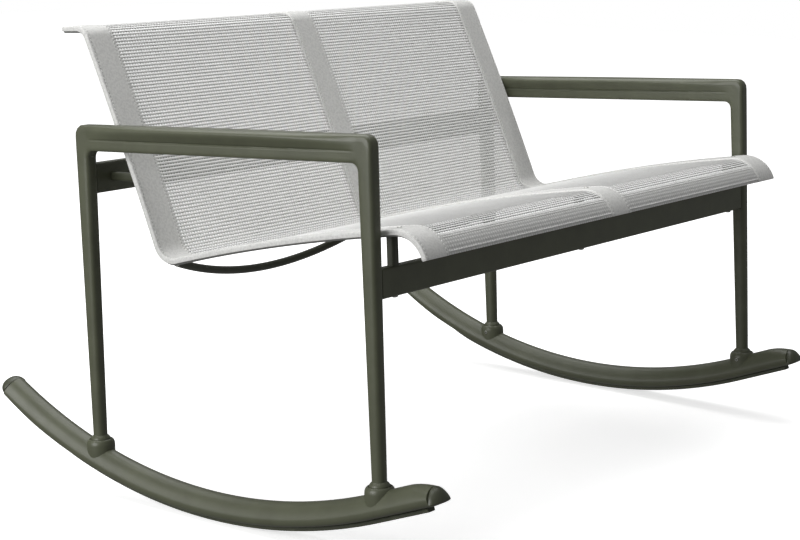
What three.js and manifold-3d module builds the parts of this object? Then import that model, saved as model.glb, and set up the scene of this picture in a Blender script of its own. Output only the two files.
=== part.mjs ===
// Two-seat outdoor rocking settee.
// Two cast side frames stand on curved runners and are joined by a front and a rear beam. Three curved
// rails carry two panels of stretched mesh between them, and bowed spreaders hold the rails apart.
// Millimetres, +Z up. The seat faces -Y, X runs across it, and "left" is -X.
// The frame is drawn upright, with y = 0 halfway between the legs and z = 0 at the lowest point of the
// runners' arc, and is then rolled back about the arc's centre to the angle at which it rests.

import * as THREE from 'three';
import { mergeVertices } from 'three/addons/utils/BufferGeometryUtils.js';
import Module from 'manifold-3d';

const wasm = await Module();
wasm.setup();

// ---- driving dimensions -------------------------------------------------------------------------

const GAP = 0.3;                    // clearance between pieces that touch
const REST_TILT = 3.1;              // degrees that the settee leans back when nobody sits on it

const LEG_SPAN_X = 1100;            // between the leg axes, across the seat
const LEG_SPAN_Y = 562;             // between the leg axes, front to rear
const LEG_TOP_HALF = [12, 13.3];     // half section at the arm, in X and Y
const LEG_FOOT_HALF = 10.6;         // half section in the socket
const ARM_TOP = 601;
const ARM_DEPTH = 41;               // height of the arm casting at its ends
const ARM_STUB = 14;                // how far its corners reach down to the legs
const ARM_OUTER_RADIUS = 15;
const ARM_INNER_RADIUS = 12;
const ARM_PAD_HALF = 22;            // half width of the arm's top at mid length
const ARM_PAD_THICKNESS = 15;

const RUNNER_RADIUS = 922;          // of the surface that rolls on the floor
const ARC_LEAD = 3.5;               // of the arc's centre, ahead of the middle of the legs
const STRIP_THICKNESS = 7;
const STRIP_WIDTH = 16;
const STRIP_REAR_THICKNESS = 1.2;   // where it thins out under the rear end
const STRIP_THINNING = 70;          // length over which it does
const STRIP_FRONT_SETBACK = 15;     // from the runner's ends to the strip's
const STRIP_REAR_SETBACK = 112;
const RUNNER_WIDTH = 48;
const RUNNER_HEIGHT = 36;
const RUNNER_SHOULDER = 13;         // height of its widest line above its underside
const RUNNER_WALL = 5;
const RUNNER_FRONT_REACH = 106;     // ahead of the front leg
const RUNNER_REAR_REACH = 206;      // behind the rear leg
const FRONT_DIP = 9;                // how far its top comes down at the front end
const FRONT_DIP_LENGTH = 42;
const REAR_LIFT = 5;                // how far its underside rises at the rear end
const REAR_LIFT_LENGTH = 90;
const FRONT_CAP_LENGTH = 13;
const REAR_CAP_LENGTH = 18;
const FRONT_NOSE = -9;               // height of the cap's nose from the runner's widest line
const REAR_NOSE = 5;
const SOCKET_RADIUS = 22.5;
const SOCKET_RISE = 8.5;            // above the runner, at the leg's axis
const SOCKET_SHOULDER = [6, 10];    // its shoulder's width and height
const COLLAR_HEIGHT = 6.5;
const COLLAR_FOOT_RADIUS = 16.5;

const BEAM_THICKNESS = 18;
const FRONT_BEAM_DEPTH = 44;
const REAR_BEAM_DEPTH = 48;
const REAR_BEAM_DROP = 21;          // below the arm's underside
const POST_HEIGHT = 42.6;            // from the front beam to the rail
const BRACKET_LENGTH = 66;          // from the rear beam to the rail
const BRACKET_WIDTH = 14;
const BRACKET_THICKNESS = 14;

const RAIL_INSET = 49;              // from the leg axes to the outer rails
const RAIL_WIDTH = 50;
const RAIL_THICKNESS = 8;
const STRAP_THICKNESS = 2.5;
const STRAP_WIDTH = 58;
const STRAP_WRAP = 5;               // that the strap's edges cover of the rail's side
const MESH_THICKNESS = 2;

const SEAT_CROWN_REACH = 23;        // start of the nose curl, ahead of the front leg
const SEAT_CROWN_HEIGHT = 461.8;
const NOSE_RADIUS = 52;
const NOSE_TURN = 80.5;
const SEAT_FRONT_SLOPE = 5.5;       // degrees, rising to the front
const SEAT_REAR_SLOPE = 13;
const BEND_RADIUS = 32;
const BACK_FOOT_SLOPE = 69.5;
const BACK_TOP_SLOPE = 66.5;
const BACK_LENGTH = 349;
const TAIL_RADIUS = 24;
const TAIL_LENGTH = 32;

const SPREADER_RADIUS = 6.5;
const SPREADER_BOW = 46;           // how far it hangs below the line between its ends
const SPREADER_END_INSET = 10;      // from the rail's centre line to the spreader's end

const BOLT_RADIUS = 2.5;
const BOLT_HEAD_RADIUS = 5;
const BOLT_HEAD_HEIGHT = 2.8;
const BOLT_GRIP = 5;                // that a bolt enters a rail
const RIVET_RADIUS = 4;
const RIVET_HEIGHT = 1.4;
const RIVET_SETBACK = 9;            // behind the start of the nose curl
const SET_SCREW_RADIUS = 3;
const SET_SCREW_LENGTH = 7;

// ---- finishes -----------------------------------------------------------------------------------

const paint = (color, roughness, metalness) => new THREE.MeshStandardMaterial({ color, roughness, metalness });
const OLIVE = paint(0x55584a, 0.45, 0.3);
const OLIVE_DARK = paint(0x33362a, 0.55, 0.2);
const VINYL = paint(0xe6e6e3, 0.5, 0);
const MESH = paint(0xdededb, 0.7, 0);
const RAIL_GREY = paint(0x9a9b97, 0.45, 0.4);
const NYLON = paint(0x3a3d32, 0.7, 0);
const STEEL = paint(0xb9bab5, 0.3, 0.9);

// ---- shared geometry ----------------------------------------------------------------------------

const radians = THREE.MathUtils.degToRad;
const TO_SIDE_VIEW = new THREE.Matrix4().makeBasis(
  new THREE.Vector3(0, 1, 0), new THREE.Vector3(0, 0, 1), new THREE.Vector3(1, 0, 0));

function manifoldOf(geometry) {
  const bare = geometry.clone();
  bare.deleteAttribute('normal');
  bare.deleteAttribute('uv');
  const merged = mergeVertices(bare, 1e-4);
  return new wasm.Manifold(new wasm.Mesh({
    numProp: 3,
    vertProperties: new Float32Array(merged.attributes.position.array),
    triVerts: new Uint32Array(merged.index.array),
  }));
}

function geometryOf(manifold) {
  const mesh = manifold.getMesh();
  const geometry = new THREE.BufferGeometry();
  geometry.setAttribute('position', new THREE.BufferAttribute(new Float32Array(mesh.vertProperties), 3));
  geometry.setIndex(new THREE.BufferAttribute(new Uint32Array(mesh.triVerts), 1));
  return geometry;
}

const cut = (geometry, ...tools) =>
  geometryOf(tools.reduce((body, tool) => body.subtract(manifoldOf(tool)), manifoldOf(geometry)));
const join = (geometry, ...others) =>
  geometryOf(others.reduce((body, other) => body.add(manifoldOf(other)), manifoldOf(geometry)));

// A closed body through rings of equal point count, listed from one end to the other, either way round.
function loft(rings) {
  const count = rings[0].length;
  const middle = ring => ring.reduce((sum, point) => sum.add(point), new THREE.Vector3()).divideScalar(count);
  const start = middle(rings[0]);
  const end = middle(rings.at(-1));
  const positions = [...rings.flat(), start, end].flatMap(point => point.toArray());
  const spokes = rings[0].map(point => point.clone().sub(start));
  const facing = spokes.reduce((sum, spoke, i) =>
    sum.add(spoke.clone().cross(spokes[(i + 1) % count])), new THREE.Vector3());
  const reversed = facing.dot(end.clone().sub(start)) > 0;
  const index = [];
  const face = (a, b, c) => index.push(a, ...(reversed ? [c, b] : [b, c]));
  const startCentre = rings.length * count;
  const lastRing = (rings.length - 1) * count;
  for (let side = 0; side < count; side++) {
    const next = (side + 1) % count;
    face(startCentre, side, next);
    face(startCentre + 1, lastRing + next, lastRing + side);
    for (let near = 0; near < lastRing; near += count) {
      const far = near + count;
      face(near + side, far + next, near + next);
      face(near + side, far + side, far + next);
    }
  }
  const geometry = new THREE.BufferGeometry();
  geometry.setAttribute('position', new THREE.Float32BufferAttribute(positions, 3));
  geometry.setIndex(index);
  return geometry;
}

// Outline of a rounded section: exponent 2 is an ellipse, and higher ones are squarer.
function superellipse(halfX, halfUp, halfDown, exponent, count) {
  return Array.from({ length: count }, (_, i) => {
    const angle = 2 * Math.PI * i / count;
    const c = Math.cos(angle);
    const s = Math.sin(angle);
    const round = value => Math.sign(value) * Math.abs(value) ** (2 / exponent);
    return new THREE.Vector2(halfX * round(c), (s > 0 ? halfUp : halfDown) * round(s));
  });
}

// A side-view shape in (y, z), carried across from x0 to x1.
function acrossSeat(shape, x0, x1, bevel = 0) {
  const geometry = new THREE.ExtrudeGeometry(shape, {
    depth: x1 - x0 - 2 * bevel,
    bevelEnabled: bevel > 0,
    bevelSize: bevel,
    bevelThickness: bevel,
    bevelOffset: -bevel,
    bevelSegments: 2,
    curveSegments: 5,
  });
  geometry.translate(0, 0, x0 + bevel);
  return geometry.applyMatrix4(TO_SIDE_VIEW);
}

const polygon = points => new THREE.Shape(points.map(([y, z]) => new THREE.Vector2(y, z)));
const box = (x0, x1, y0, y1, z0, z1) =>
  new THREE.BoxGeometry(x1 - x0, y1 - y0, z1 - z0).translate((x0 + x1) / 2, (y0 + y1) / 2, (z0 + z1) / 2);

// A turned piece on the Z axis: profile points are [radius, height].
const turned = (profile, segments = 20) =>
  new THREE.LatheGeometry(profile.map(([r, z]) => new THREE.Vector2(r, z)), segments).rotateX(Math.PI / 2);

const rod = (radius, length, segments = 12) =>
  turned([[0, 0], [radius, 0], [radius, length], [0, length]], segments);

// ---- seat profile -------------------------------------------------------------------------------
// The line of the rails' top face in side view, from the tail behind the back to the tip of the nose.
// Each point holds its reach ahead of the front leg, its height and its upward normal.

const frontLegY = -LEG_SPAN_Y / 2;
const rearLegY = LEG_SPAN_Y / 2;

function tracePath(seatLength) {
  const degreesPerStep = 12;
  const strokes = [
    { length: TAIL_LENGTH, turn: 0, steps: 1 },
    { radius: TAIL_RADIUS, turn: -BACK_TOP_SLOPE },
    { length: BACK_LENGTH, turn: BACK_TOP_SLOPE - BACK_FOOT_SLOPE, steps: 4 },
    { radius: BEND_RADIUS, turn: BACK_FOOT_SLOPE + SEAT_REAR_SLOPE },
    { length: seatLength, turn: SEAT_FRONT_SLOPE - SEAT_REAR_SLOPE, steps: 6 },
    { radius: NOSE_RADIUS, turn: -NOSE_TURN },
  ];
  const at = new THREE.Vector2();
  const points = [];
  let crown = null;
  let heading = 0;
  const mark = () => points.push({
    at: at.clone(),
    normal: new THREE.Vector2(-Math.sin(radians(heading)), Math.cos(radians(heading))),
  });
  mark();
  for (const stroke of strokes) {
    crown = at.clone();
    const length = stroke.length ?? stroke.radius * Math.abs(radians(stroke.turn));
    const steps = stroke.steps ?? Math.ceil(Math.abs(stroke.turn) / degreesPerStep);
    for (let i = 0; i < steps; i++) {
      const half = stroke.turn / steps / 2;
      const chord = half ? length / steps * Math.sin(radians(half)) / radians(half) : length / steps;
      heading += half;
      at.add(new THREE.Vector2(Math.cos(radians(heading)), Math.sin(radians(heading))).multiplyScalar(chord));
      heading += half;
      mark();
    }
  }
  const shift = new THREE.Vector2(SEAT_CROWN_REACH, SEAT_CROWN_HEIGHT).sub(crown);
  points.forEach(point => point.at.add(shift));
  return points;
}

// A face parallel to the profile, as [y, z] points.
const faceAt = (path, offset) => path.map(({ at, normal }) =>
  [frontLegY - at.x - offset * normal.x, at.y + offset * normal.y]);

// Where a face, given as a line of points, crosses a height or a distance.
function crossing(line, axis, value, fromEnd) {
  const points = fromEnd ? [...line].reverse() : line;
  const other = 1 - axis;
  for (let i = 1; i < points.length; i++) {
    const [a, b] = [points[i - 1], points[i]];
    if ((a[axis] - value) * (b[axis] - value) <= 0 && a[axis] !== b[axis]) {
      return a[other] + (b[other] - a[other]) * (value - a[axis]) / (b[axis] - a[axis]);
    }
  }
  return null;
}

const armUnderside = ARM_TOP - ARM_DEPTH;
const rearBeamTop = armUnderside - REAR_BEAM_DROP;
const rearBeamMiddle = rearBeamTop - REAR_BEAM_DEPTH / 2;
const rearBeamFace = rearLegY - BEAM_THICKNESS / 2;

// The seat is as long as it takes for the brackets to reach from the rear beam to the rails.
let seatLength = LEG_SPAN_Y * 0.75;
for (let i = 0; i < 20; i++) {
  const back = crossing(faceAt(tracePath(seatLength), -RAIL_THICKNESS), 1, rearBeamMiddle, false);
  seatLength += rearBeamFace - back - BRACKET_LENGTH;
}
const path = tracePath(seatLength);
const railBottom = faceAt(path, -RAIL_THICKNESS);
const railUndersideAt = y => crossing(railBottom, 0, y, true);
const railBackAt = z => crossing(railBottom, 1, z, false);
const band = (low, high) => polygon([...faceAt(path, high), ...faceAt(path, low).reverse()]);

const frontBeamTop = railUndersideAt(frontLegY) - POST_HEIGHT;
const frontBeamBottom = frontBeamTop - FRONT_BEAM_DEPTH;

// ---- places across the seat ---------------------------------------------------------------------

const outerRailX = LEG_SPAN_X / 2 - RAIL_INSET;
const rails = [['left', -outerRailX], ['middle', 0], ['right', outerRailX]];
const bays = [['left', -outerRailX, 0], ['right', 0, outerRailX]];
const sides = [['left', -LEG_SPAN_X / 2, 1], ['right', LEG_SPAN_X / 2, -1]];   // name, x, inward sign
const corners = [['front', frontLegY], ['rear', rearLegY]];
const beamHalf = LEG_SPAN_X / 2 - LEG_TOP_HALF[0] - GAP;

const settee = new THREE.Group();
const rocked = new THREE.Group();
const frame = new THREE.Group();
settee.add(rocked);
rocked.add(frame);
rocked.position.z = RUNNER_RADIUS;
rocked.rotation.x = -radians(REST_TILT);
frame.position.set(0, ARC_LEAD, -RUNNER_RADIUS);

function add(name, geometry, material, x = 0, y = 0, z = 0) {
  const mesh = new THREE.Mesh(geometry, material);
  mesh.name = name;
  mesh.position.set(x, y, z);
  frame.add(mesh);
  return mesh;
}

// ---- runners, strips and end caps ---------------------------------------------------------------

// The line that rolls on the floor is an arc from the rear end to the front leg, and runs on straight from
// there. Distances along it are from the arc's lowest point, positive to the rear.
const lineTo = y => RUNNER_RADIUS * Math.asin((y + ARC_LEAD) / RUNNER_RADIUS);
const straightFrom = lineTo(frontLegY);
const runnerFront = lineTo(frontLegY) - RUNNER_FRONT_REACH / Math.cos(straightFrom / RUNNER_RADIUS);
const runnerRear = lineTo(rearLegY + RUNNER_REAR_REACH);
const runnerLift = STRIP_THICKNESS + RUNNER_SHOULDER;                // of its widest line above that line

// A ring of a section, standing on that line a lift above it.
function runnerRing(outline, along, lift) {
  const angle = Math.max(along, straightFrom) / RUNNER_RADIUS;
  const ahead = Math.min(along - straightFrom, 0);
  return outline.map(({ x, y }) => {
    const r = RUNNER_RADIUS - lift - y;
    return new THREE.Vector3(x, r * Math.sin(angle) + ahead * Math.cos(angle) - ARC_LEAD,
      RUNNER_RADIUS - r * Math.cos(angle) + ahead * Math.sin(angle));
  });
}

// Half heights of the runner above and below its widest line.
function runnerHalves(along) {
  const nearFront = Math.max(0, 1 - (along - runnerFront) / FRONT_DIP_LENGTH);
  const nearRear = Math.max(0, 1 - (runnerRear - along) / REAR_LIFT_LENGTH);
  return [RUNNER_HEIGHT - RUNNER_SHOULDER - FRONT_DIP * nearFront ** 2,
    RUNNER_SHOULDER - REAR_LIFT * nearRear ** 1.5];
}

// The runner's outline: a narrow dome above its widest line, and a flatter curve below.
function runnerSection(half, up, down, count) {
  const power = (value, exponent) => Math.sign(value) * Math.abs(value) ** exponent;
  return Array.from({ length: count }, (_, i) => {
    const angle = 2 * Math.PI * i / count;
    const c = Math.cos(angle);
    const s = Math.sin(angle);
    return s > 0 ? new THREE.Vector2(half * c, up * power(s, 1.5))
      : new THREE.Vector2(half * power(c, 0.62), down * power(s, 0.62));
  });
}

function runnerOutline(along, grow, count = 20) {
  const [up, down] = runnerHalves(along);
  return runnerSection(RUNNER_WIDTH / 2 + grow, up + grow, down + grow, count);
}

function runnerSolid(grow, steps = 24, count = 20) {
  const from = runnerFront - (grow < 0 ? GAP : 0);
  const to = runnerRear + (grow < 0 ? GAP : 0);
  const rings = Array.from({ length: steps + 1 }, (_, i) => {
    const along = from + (to - from) * i / steps;
    const shaped = THREE.MathUtils.clamp(along, runnerFront, runnerRear);
    return runnerRing(runnerOutline(shaped, grow, count), along, runnerLift);
  });
  return loft(rings);
}

// The ends' caps round off towards a nose: low down at the front, and in mid height at the rear.
function endCap(end, outward, length, nose) {
  const [up, down] = runnerHalves(end);
  const rings = [0, 0.35, 0.65, 0.88].map(reach => {
    const scale = Math.sqrt(1 - reach * reach);
    const wide = Math.sqrt(1 - 0.9 * reach * reach);
    const outline = runnerSection(
      (RUNNER_WIDTH / 2 - 0.4) * wide, (up - 0.4 - nose) * scale, (down - 0.4 + nose) * scale, 20);
    const raised = outline.map(({ x, y }) => new THREE.Vector2(x, y + nose));
    return runnerRing(raised, end + outward * (GAP + reach * length), runnerLift);
  });
  return loft(rings);
}

const runnerBody = cut(runnerSolid(0), runnerSolid(-RUNNER_WALL, 24, 12));
const runnerClearance = runnerSolid(GAP);

const stripFront = runnerFront + STRIP_FRONT_SETBACK;
const stripRear = runnerRear - STRIP_REAR_SETBACK;
function stripBody() {
  const half = STRIP_WIDTH / 2;
  const steps = 44;
  return loft(Array.from({ length: steps + 1 }, (_, i) => {
    const along = stripFront + (stripRear - stripFront) * i / steps;
    const thinned = Math.max(0, 1 - (stripRear - along) / STRIP_THINNING) ** 2;
    const low = thinned * (STRIP_THICKNESS - STRIP_REAR_THICKNESS);
    const high = STRIP_THICKNESS - GAP;
    const edge = Math.min(1.5, (high - low) / 2);
    const outline = [
      [half - 1, low], [half, low + edge], [half, high], [-half, high], [-half, low + edge], [-half + 1, low],
    ].map(([x, y]) => new THREE.Vector2(x, y));
    return runnerRing(outline, along, 0);
  }));
}

for (const [side, x] of sides) {
  add(`runner_${side}`, runnerBody, OLIVE, x);
  add(`glide_strip_${side}`, stripBody(), NYLON, x);
  add(`runner_cap_front_${side}`, endCap(runnerFront, -1, FRONT_CAP_LENGTH, FRONT_NOSE), OLIVE_DARK, x);
  add(`runner_cap_rear_${side}`, endCap(runnerRear, 1, REAR_CAP_LENGTH, REAR_NOSE), OLIVE_DARK, x);
}

// ---- legs, sockets, collars and set screws ------------------------------------------------------

const runnerTopAt = y =>
  RUNNER_RADIUS - Math.sqrt((RUNNER_RADIUS - STRIP_THICKNESS - RUNNER_HEIGHT) ** 2 - (y + ARC_LEAD) ** 2);
const socketTopAt = y => runnerTopAt(y) + SOCKET_RISE;
const legTop = armUnderside - ARM_STUB;
const boreRadius = LEG_FOOT_HALF + GAP;

const legSection = share => superellipse(
  THREE.MathUtils.lerp(LEG_FOOT_HALF, LEG_TOP_HALF[0], share),
  THREE.MathUtils.lerp(LEG_FOOT_HALF, LEG_TOP_HALF[1], share),
  THREE.MathUtils.lerp(LEG_FOOT_HALF, LEG_TOP_HALF[1], share),
  THREE.MathUtils.lerp(2, 2.8, share), 24);

// The leg stands on the runner's top, coped to fit it.
function legBody(y) {
  const collarTop = socketTopAt(y) + COLLAR_HEIGHT;
  const foot = socketTopAt(y) - SOCKET_RISE * 2;
  const levels = [foot, collarTop, THREE.MathUtils.lerp(collarTop, legTop, 0.5), legTop - GAP];
  const leg = loft(levels.map(z => {
    const share = Math.max(0, (z - collarTop) / (legTop - collarTop));
    return legSection(share).map(point => new THREE.Vector3(point.x, point.y, z));
  }));
  return cut(leg, runnerClearance.clone().translate(0, -y, 0));
}

function socketBody(y, setScrew) {
  const top = socketTopAt(y);
  const foot = runnerTopAt(y) - RUNNER_HEIGHT * 0.62;
  const shoulder = [0, 30, 60, 90].map(degrees => [
    SOCKET_RADIUS - SOCKET_SHOULDER[0] * (1 - Math.cos(radians(degrees))),
    top - SOCKET_SHOULDER[1] * (1 - Math.sin(radians(degrees))),
  ]);
  const profile = [[boreRadius, foot], [SOCKET_RADIUS, foot], ...shoulder, [boreRadius, top], [boreRadius, foot]];
  return cut(turned(profile, 24), runnerClearance.clone().translate(0, -y, 0), setScrew);
}

const collarBody = turned([
  [boreRadius, GAP], [COLLAR_FOOT_RADIUS, GAP],
  [COLLAR_FOOT_RADIUS, 1.3], [COLLAR_FOOT_RADIUS - 1, 3.1], [COLLAR_FOOT_RADIUS - 3, 4.9],
  [boreRadius + 0.5, COLLAR_HEIGHT], [boreRadius, COLLAR_HEIGHT],
  [boreRadius, GAP],
]);

const setScrewReach = SOCKET_RADIUS + 0.8 - SET_SCREW_LENGTH;

for (const [side, x, inward] of sides) {
  for (const [end, y] of corners) {
    const screwHeight = socketTopAt(y) - SOCKET_SHOULDER[1] - SET_SCREW_RADIUS + 1;
    const along = (radius, start) =>
      rod(radius, SET_SCREW_LENGTH).rotateY(inward * Math.PI / 2).translate(inward * start, 0, screwHeight);
    const screwHole = along(SET_SCREW_RADIUS + GAP, setScrewReach - GAP);
    add(`${end}_leg_${side}`, legBody(y), OLIVE, x, y);
    add(`leg_socket_${end}_${side}`, socketBody(y, screwHole), OLIVE, x, y);
    add(`leg_collar_${end}_${side}`, collarBody, OLIVE, x, y, socketTopAt(y));
    add(`set_screw_${end}_${side}`, along(SET_SCREW_RADIUS, setScrewReach), STEEL, x, y);
  }
}

// ---- arms ---------------------------------------------------------------------------------------

function armBody() {
  const out = LEG_SPAN_Y / 2 + LEG_TOP_HALF[1];
  const inn = LEG_SPAN_Y / 2 - LEG_TOP_HALF[1];
  const hoop = new THREE.Shape();
  hoop.moveTo(-out, legTop);
  hoop.lineTo(-out, ARM_TOP - ARM_OUTER_RADIUS);
  hoop.absarc(-out + ARM_OUTER_RADIUS, ARM_TOP - ARM_OUTER_RADIUS, ARM_OUTER_RADIUS, Math.PI, Math.PI / 2, true);
  hoop.absarc(out - ARM_OUTER_RADIUS, ARM_TOP - ARM_OUTER_RADIUS, ARM_OUTER_RADIUS, Math.PI / 2, 0, true);
  hoop.lineTo(out, legTop);
  hoop.lineTo(inn, legTop);
  hoop.lineTo(inn, armUnderside - ARM_INNER_RADIUS);
  hoop.absarc(inn - ARM_INNER_RADIUS, armUnderside - ARM_INNER_RADIUS, ARM_INNER_RADIUS, 0, Math.PI / 2, false);
  hoop.absarc(-inn + ARM_INNER_RADIUS, armUnderside - ARM_INNER_RADIUS, ARM_INNER_RADIUS, Math.PI / 2, Math.PI, false);
  hoop.lineTo(-inn, legTop);
  const casting = acrossSeat(hoop, -LEG_TOP_HALF[0], LEG_TOP_HALF[0], 4);

  const padEnd = LEG_SPAN_Y / 2 - LEG_TOP_HALF[1];
  const steps = 14;
  const rings = Array.from({ length: steps + 1 }, (_, i) => {
    const share = -1 + 2 * i / steps;
    const swell = (1 - share * share) ** 0.5;
    const half = THREE.MathUtils.lerp(LEG_TOP_HALF[0] - 3, ARM_PAD_HALF, swell);
    const middle = ARM_TOP - ARM_PAD_THICKNESS / 2;
    return superellipse(half, ARM_PAD_THICKNESS / 2, ARM_PAD_THICKNESS / 2, 2.6, 16)
      .map(({ x, y }) => new THREE.Vector3(x, share * padEnd, middle + y));
  });
  return join(casting, loft(rings));
}

for (const [side, x] of sides) add(`armrest_${side}`, armBody(), OLIVE, x);

// ---- beams, posts, brackets and their bolts -----------------------------------------------------

const boltClearance = BOLT_RADIUS + GAP;
const bolt = length => turned([
  [0, -BOLT_HEAD_HEIGHT], [BOLT_HEAD_RADIUS * 0.7, -BOLT_HEAD_HEIGHT], [BOLT_HEAD_RADIUS, -BOLT_HEAD_HEIGHT * 0.4],
  [BOLT_HEAD_RADIUS, -GAP], [BOLT_RADIUS, -GAP], [BOLT_RADIUS, length], [0, length],
], 12);

const postBoltLength = railUndersideAt(frontLegY) + BOLT_GRIP - frontBeamBottom;
const postHole = rod(boltClearance, postBoltLength + 2).translate(0, frontLegY, frontBeamBottom - 1);
const railBackAtBeam = railBackAt(rearBeamMiddle);
const bracketBoltLength = rearLegY + BEAM_THICKNESS / 2 - railBackAtBeam + BOLT_GRIP;
const bracketHole = rod(boltClearance, bracketBoltLength + 2).rotateX(Math.PI / 2)
  .translate(0, rearLegY + BEAM_THICKNESS / 2 + 1, rearBeamMiddle);
const atRails = tool => rails.map(([, x]) => tool.clone().translate(x, 0, 0));

add('front_beam', cut(
  box(-beamHalf, beamHalf, frontLegY - BEAM_THICKNESS / 2, frontLegY + BEAM_THICKNESS / 2, frontBeamBottom, frontBeamTop),
  ...atRails(postHole)), OLIVE);
add('rear_beam', cut(
  box(-beamHalf, beamHalf, rearBeamFace, rearLegY + BEAM_THICKNESS / 2, rearBeamTop - REAR_BEAM_DEPTH, rearBeamTop),
  ...atRails(bracketHole)), OLIVE);

for (const [name, x] of rails) {
  const half = BRACKET_THICKNESS / 2;
  const postEdges = [frontLegY + half, frontLegY - half];
  const post = polygon([
    [postEdges[1], frontBeamTop + GAP], [postEdges[0], frontBeamTop + GAP],
    ...postEdges.map(y => [y, railUndersideAt(y) - GAP]),
  ]);
  const bracketEdges = [rearBeamMiddle - half, rearBeamMiddle + half];
  const bracket = polygon([
    [railBackAt(bracketEdges[0]) + GAP, bracketEdges[0]], [rearBeamFace - GAP, bracketEdges[0]],
    [rearBeamFace - GAP, bracketEdges[1]], [railBackAt(bracketEdges[1]) + GAP, bracketEdges[1]],
  ]);
  const wide = BRACKET_WIDTH / 2;
  add(`front_post_${name}`, cut(acrossSeat(post, -wide, wide), postHole), OLIVE_DARK, x);
  add(`rear_bracket_${name}`, cut(acrossSeat(bracket, -wide, wide), bracketHole), OLIVE_DARK, x);
  add(`post_bolt_${name}`, bolt(postBoltLength), STEEL, x, frontLegY, frontBeamBottom);
  add(`bracket_bolt_${name}`, bolt(bracketBoltLength).rotateX(Math.PI / 2), STEEL,
    x, rearLegY + BEAM_THICKNESS / 2, rearBeamMiddle);
}

// ---- rails, straps and rivets -------------------------------------------------------------------

const rivetY = frontLegY - SEAT_CROWN_REACH + RIVET_SETBACK;
const strapTop = faceAt(path, GAP + STRAP_THICKNESS);
const rivetSeat = crossing(strapTop, 0, rivetY, true);
const rivetDepth = STRAP_THICKNESS + RAIL_THICKNESS * 0.5;
const rivetShank = RIVET_RADIUS * 0.4;
const rivetBody = turned([
  [0, -rivetDepth], [rivetShank, -rivetDepth], [rivetShank, GAP + 0.4], [RIVET_RADIUS, GAP + 0.4],
  [RIVET_RADIUS * 0.8, RIVET_HEIGHT], [RIVET_RADIUS * 0.35, RIVET_HEIGHT + 0.6], [0, RIVET_HEIGHT + 0.7],
], 12);
const rivetHole = rod(rivetShank + GAP, rivetDepth + 8).translate(0, rivetY, rivetSeat - rivetDepth - GAP);

const railBody = cut(acrossSeat(band(-RAIL_THICKNESS, 0), -RAIL_WIDTH / 2, RAIL_WIDTH / 2), rivetHole, postHole,
  bracketHole);
const lip = (STRAP_WIDTH - RAIL_WIDTH) / 2 - GAP;
const strapBody = cut(join(
  acrossSeat(band(GAP, GAP + STRAP_THICKNESS), -STRAP_WIDTH / 2, STRAP_WIDTH / 2),
  acrossSeat(band(-STRAP_WRAP, GAP + STRAP_THICKNESS / 2), -STRAP_WIDTH / 2, -STRAP_WIDTH / 2 + lip),
  acrossSeat(band(-STRAP_WRAP, GAP + STRAP_THICKNESS / 2), STRAP_WIDTH / 2 - lip, STRAP_WIDTH / 2)), rivetHole);

for (const [name, x] of rails) {
  add(`seat_rail_${name}`, railBody, RAIL_GREY, x);
  add(`strap_${name}`, strapBody, VINYL, x);
  add(`strap_rivet_${name}`, rivetBody, STEEL, x, rivetY, rivetSeat);
}

// ---- mesh panels and bowed spreaders ------------------------------------------------------------

const bendStart = path.findIndex((point, i) =>
  i > 0 && point.normal.x < path[i - 1].normal.x && path[i - 1].normal.x > 0.9);
const bendNormal = radians((SEAT_REAR_SLOPE - BACK_FOOT_SLOPE) / 2);
const outward = new THREE.Vector2(Math.sin(bendNormal), -Math.cos(bendNormal));
const bendCentre = path[bendStart - 1].at.clone().addScaledVector(path[bendStart - 1].normal, BEND_RADIUS);
const spreaderSeat = bendCentre.clone().addScaledVector(
  outward, BEND_RADIUS + RAIL_THICKNESS + GAP + SPREADER_RADIUS);

function spreaderBody(x0, x1) {
  const steps = 14;
  const centre = share => {
    const drop = SPREADER_BOW * (1 - share * share);
    const at = spreaderSeat.clone().addScaledVector(outward, drop);
    return new THREE.Vector3(THREE.MathUtils.lerp(x0, x1, (share + 1) / 2), frontLegY - at.x, at.y);
  };
  const rings = Array.from({ length: steps + 1 }, (_, i) => {
    const share = -1 + 2 * i / steps;
    const tangent = centre(share + 0.01).sub(centre(share - 0.01)).normalize();
    const aside = new THREE.Vector3(0, -outward.y, -outward.x);
    const up = tangent.clone().cross(aside);
    return Array.from({ length: 10 }, (_, k) => {
      const angle = 2 * Math.PI * k / 10;
      return centre(share).addScaledVector(up, SPREADER_RADIUS * Math.cos(angle))
        .addScaledVector(aside, SPREADER_RADIUS * Math.sin(angle));
    });
  });
  return loft(rings);
}

for (const [name, x0, x1] of bays) {
  const edge = STRAP_WIDTH / 2 + GAP;
  const panel = band(GAP - MESH_THICKNESS / 2, GAP + MESH_THICKNESS / 2);
  add(`mesh_panel_${name}`, acrossSeat(panel, x0 + edge, x1 - edge), MESH);
  add(`bowed_spreader_${name}`, spreaderBody(x0 + SPREADER_END_INSET, x1 - SPREADER_END_INSET), OLIVE_DARK);
}

// The origin is on the floor, under the middle of the settee's outline.
settee.updateMatrixWorld(true);
const outline = new THREE.Box3().setFromObject(settee, true);
rocked.position.y -= (outline.min.y + outline.max.y) / 2;
rocked.position.z -= outline.min.z;

export default settee;
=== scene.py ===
import math

import bpy
import numpy as np
from mathutils import Matrix, Vector


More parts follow.
